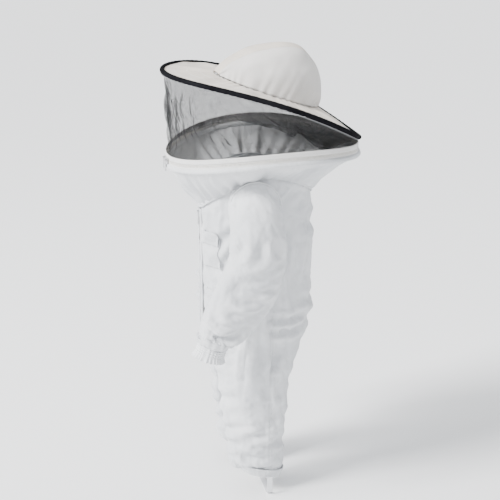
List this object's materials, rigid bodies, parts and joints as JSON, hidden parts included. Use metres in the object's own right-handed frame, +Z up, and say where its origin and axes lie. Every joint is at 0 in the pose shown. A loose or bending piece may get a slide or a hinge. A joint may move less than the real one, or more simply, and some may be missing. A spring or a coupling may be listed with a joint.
{
  "type": "beekeeping suit",
  "caption": "Child's white cotton beekeeping coverall with a hooped collar, a zip-on black net veil and a wide wired hat, worn standing.",
  "frame": {"origin": "carry point, midway between the wearer's shoulders, 700 mm above the soles", "axes": "+Z up, the wearer faces -Y, +X is the wearer's left"},
  "size_m": [0.4604, 0.436, 1.0184],
  "materials": {
    "suit_cotton": "plain-woven white cotton, slightly creased",
    "hat_cotton": "plain-woven off-white cotton",
    "sweatband_cotton": "brushed cotton",
    "veil_net": "fine knitted black net, see-through",
    "black_binding": "woven black tape",
    "elastic": "ribbed white elastic",
    "hoop_steel": "drawn spring wire",
    "zip_tape": "woven polyester tape",
    "zip_coil": "nylon coil",
    "zip_metal": "dull cast metal"
  },
  "bodies": {
    "suit": {"front_panel_left": "suit_cotton", "front_panel_right": "suit_cotton", "back_panel": "suit_cotton", "crotch_gusset": "suit_cotton", "waist_elastic": "elastic", "chest_pocket": "suit_cotton", "hip_pocket_left": "suit_cotton", "hip_pocket_right": "suit_cotton", "zip_tape_left": "zip_tape", "zip_tape_right": "zip_tape", "zip_teeth_left": "zip_metal", "zip_teeth_right": "zip_metal", "zip_stops": "zip_metal", "zip_guard_left": "suit_cotton", "zip_guard_right": "suit_cotton", "yoke_front": "suit_cotton", "yoke_back": "suit_cotton", "collar_hoop": "hoop_steel", "collar_casing": "suit_cotton", "lower_zip_tape": "zip_tape", "lower_zip_coil": "zip_coil"},
    "pocket_flap": {"pocket_flap": "suit_cotton"},
    "zip_slider": {"zip_slider": "zip_metal"},
    "zip_pull": {"zip_pull": "zip_metal"},
    "veil_slider_left": {"veil_slider_left": "zip_metal"},
    "veil_slider_right": {"veil_slider_right": "zip_metal"},
    "veil_pull_left": {"veil_pull_left": "zip_metal"},
    "veil_pull_right": {"veil_pull_right": "zip_metal"},
    "hood": {"upper_zip_coil": "zip_coil", "upper_zip_tape": "zip_tape", "veil_mesh": "veil_net"},
    "hat": {"brim_top": "hat_cotton", "brim_under": "hat_cotton", "brim_hoop": "hoop_steel", "brim_binding": "black_binding", "crown_centre": "hat_cotton", "crown_side_left": "hat_cotton", "crown_side_right": "hat_cotton", "sweatband": "sweatband_cotton"},
    "arm_left": {"sleeve_front_left": "suit_cotton", "sleeve_back_left": "suit_cotton", "cuff_left": "elastic"},
    "leg_left": {"leg_left": "suit_cotton", "hem_left": "elastic"},
    "stirrup_left": {"stirrup_left": "elastic"},
    "arm_right": {"sleeve_front_right": "suit_cotton", "sleeve_back_right": "suit_cotton", "cuff_right": "elastic"},
    "leg_right": {"leg_right": "suit_cotton", "hem_right": "elastic"},
    "stirrup_right": {"stirrup_right": "elastic"}
  },
  "joints": [
    {"name": "hood_flip", "type": "hinge", "parent": "suit", "child": "hood", "pos_m": [0, 0.228, 0.093], "axis": [-1, 0, 0], "range_deg": [0, 170]},
    {"name": "hat_tilt", "type": "hinge", "parent": "hood", "child": "hat", "pos_m": [0, 0.007, 0.1885], "axis": [1, 0, 0], "range_deg": [0, 20], "deforming": ["veil_mesh"]},
    {"name": "main_zip", "type": "slide", "parent": "suit", "child": "zip_slider", "axis": [0, 0, -1], "range_m": [0, 0.255]},
    {"name": "zip_pull_swing", "type": "hinge", "parent": "zip_slider", "child": "zip_pull", "pos_m": [0, -0.134, -0.047], "axis": [-1, 0, 0], "range_deg": [0, 140]},
    {"name": "pocket_flap_lift", "type": "hinge", "parent": "suit", "child": "pocket_flap", "pos_m": [0.06993, -0.11892, -0.076], "axis": [-0.9081, -0.4187, 0], "range_deg": [0, 75]},
    {"name": "veil_zip_left", "type": "hinge", "parent": "suit", "child": "veil_slider_left", "pos_m": [0, -0.00621, 0.13511], "axis": [0, -0.2996, 0.9541], "range_deg": [0, 36]},
    {"name": "veil_pull_swing_left", "type": "hinge", "parent": "veil_slider_left", "child": "veil_pull_left", "pos_m": [0.01458, -0.20601, 0.07549], "axis": [-0.9975, -0.067, -0.021], "range_deg": [0, 140]},
    {"name": "shoulder_left", "type": "hinge", "parent": "suit", "child": "arm_left", "pos_m": [0.1274, -0.032, -0.012], "axis": [-1, 0, 0], "range_deg": [-25, 65]},
    {"name": "hip_left", "type": "hinge", "parent": "suit", "child": "leg_left", "pos_m": [0.063, -0.0085, -0.35], "axis": [-1, 0, 0], "range_deg": [-20, 25]},
    {"name": "stirrup_swing_left", "type": "hinge", "parent": "leg_left", "child": "stirrup_left", "pos_m": [0.074, 0.004, -0.658], "axis": [-1, 0, 0], "range_deg": [-50, 50]},
    {"name": "veil_zip_right", "type": "hinge", "parent": "suit", "child": "veil_slider_right", "pos_m": [0, -0.00621, 0.13511], "axis": [0, 0.2996, -0.9541], "range_deg": [0, 36]},
    {"name": "veil_pull_swing_right", "type": "hinge", "parent": "veil_slider_right", "child": "veil_pull_right", "pos_m": [-0.01458, -0.20601, 0.07549], "axis": [-0.9975, 0.067, 0.021], "range_deg": [0, 140]},
    {"name": "shoulder_right", "type": "hinge", "parent": "suit", "child": "arm_right", "pos_m": [-0.1274, -0.032, -0.012], "axis": [-1, 0, 0], "range_deg": [-11, 79]},
    {"name": "hip_right", "type": "hinge", "parent": "suit", "child": "leg_right", "pos_m": [-0.063, -0.0085, -0.35], "axis": [-1, 0, 0], "range_deg": [-20, 25]},
    {"name": "stirrup_swing_right", "type": "hinge", "parent": "leg_right", "child": "stirrup_right", "pos_m": [-0.074, 0.004, -0.658], "axis": [-1, 0, 0], "range_deg": [-50, 50]}
  ]
}
